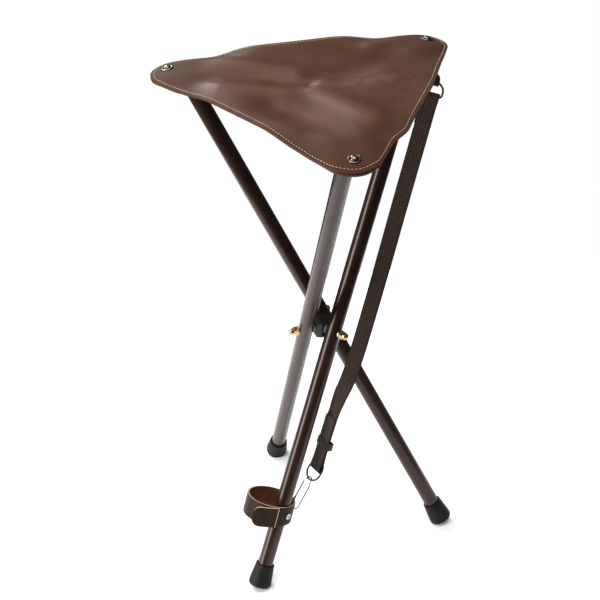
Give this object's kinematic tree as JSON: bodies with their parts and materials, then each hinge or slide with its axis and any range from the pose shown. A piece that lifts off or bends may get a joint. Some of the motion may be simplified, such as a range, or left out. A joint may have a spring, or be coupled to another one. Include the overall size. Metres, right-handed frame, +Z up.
{
  "type": "folding tripod stool",
  "caption": "Folding hunting stool: crossed tube legs on a small pivot block carry a sagging leather seat; a webbing strap with a snap hook leads to a leather closing belt.",
  "frame": {"origin": "middle of the footprint on the floor", "axes": "+Z up; -Y towards the seat's front corner"},
  "size_m": [0.3693, 0.3769, 0.6746],
  "materials": {
    "tube_lacquer": "glossy brown lacquer",
    "seat_leather": "smooth brown, semi-gloss",
    "belt_leather": "dark brown outside, tan flesh side",
    "rubber": "matt black",
    "hub_plastic": "black moulded",
    "nylon": "natural nylon",
    "brass": "polished",
    "steel": "plain zinc-plated",
    "dark_metal": "burnished dark",
    "nickel": "nickel-plated wire",
    "webbing": "ribbed dark brown webbing",
    "plug_plastic": "black moulded"
  },
  "bodies": {
    "hub": {"hub_block": "hub_plastic", "pivot_studs": "steel", "inner_washers": "nylon", "outer_washers": "brass", "cap_nuts": "brass", "seat_panel": "seat_leather", "ring_tab": "belt_leather"},
    "leg_front": {"leg_tube_front": "tube_lacquer", "pivot_bush_front": "nylon", "rubber_foot_front": "rubber", "foot_disc_front": "steel", "top_plug_front": "plug_plastic", "corner_pocket_front": "seat_leather", "corner_rivet_front": "dark_metal", "rivet_burr_front": "steel"},
    "leg_right": {"leg_tube_right": "tube_lacquer", "pivot_bush_right": "nylon", "rubber_foot_right": "rubber", "foot_disc_right": "steel", "top_plug_right": "plug_plastic", "corner_pocket_right": "seat_leather", "corner_rivet_right": "dark_metal", "rivet_burr_right": "steel", "webbing_strap": "webbing", "clip_ring": "dark_metal", "closing_belt": "belt_leather", "belt_eyelet": "nickel", "snap_hook": "nickel"},
    "leg_left": {"leg_tube_left": "tube_lacquer", "pivot_bush_left": "nylon", "rubber_foot_left": "rubber", "foot_disc_left": "steel", "top_plug_left": "plug_plastic", "corner_pocket_left": "seat_leather", "corner_rivet_left": "dark_metal", "rivet_burr_left": "steel"},
    "strap_ring": {"seat_ring": "dark_metal"},
    "slider": {"strap_slider": "dark_metal"},
    "gate": {"hook_gate": "nickel"}
  },
  "joints": [
    {"name": "right_leg_fold", "type": "hinge", "parent": "hub", "child": "leg_right", "pos_m": [0.01249, 0.00262, 0.32696], "axis": [0.5948, -0.8039, 0], "range_deg": [0, 26.3], "deforming": ["seat_panel", "webbing_strap", "closing_belt", "corner_pocket_front", "corner_pocket_right", "corner_pocket_left"]},
    {"name": "front_leg_fold", "type": "hinge", "parent": "hub", "child": "leg_front", "pos_m": [-0.02087, 0.01712, 0.32696], "axis": [-0.9936, -0.1132, 0], "range_deg": [0, 26.3]},
    {"name": "left_leg_fold", "type": "hinge", "parent": "hub", "child": "leg_left", "pos_m": [0.00837, 0.03876, 0.32696], "axis": [0.3988, 0.9171, 0], "range_deg": [0, 26.3]},
    {"name": "seat_ring_swing", "type": "hinge", "parent": "hub", "child": "strap_ring", "pos_m": [0.1428, 0.01693, 0.65037], "axis": [0.9165, -0.2978, -0.2671], "range_deg": [-6, 6], "deforming": ["webbing_strap"]},
    {"name": "slider_slide", "type": "slide", "parent": "leg_right", "child": "slider", "axis": [0.3496, 0.1083, 0.9306], "range_m": [-0.022, 0.016]},
    {"name": "gate_open", "type": "hinge", "parent": "leg_right", "child": "gate", "pos_m": [-0.04199, -0.04663, 0.13014], "axis": [-0.1742, -0.9282, 0.3288], "range_deg": [0, 12], "stiffness_Nm_per_rad": 0.002, "springref_deg": -9.74}
  ],
  "couplings": [
    {"joint": "front_leg_fold", "follows": "right_leg_fold", "ratio": 1},
    {"joint": "left_leg_fold", "follows": "right_leg_fold", "ratio": 1}
  ]
}
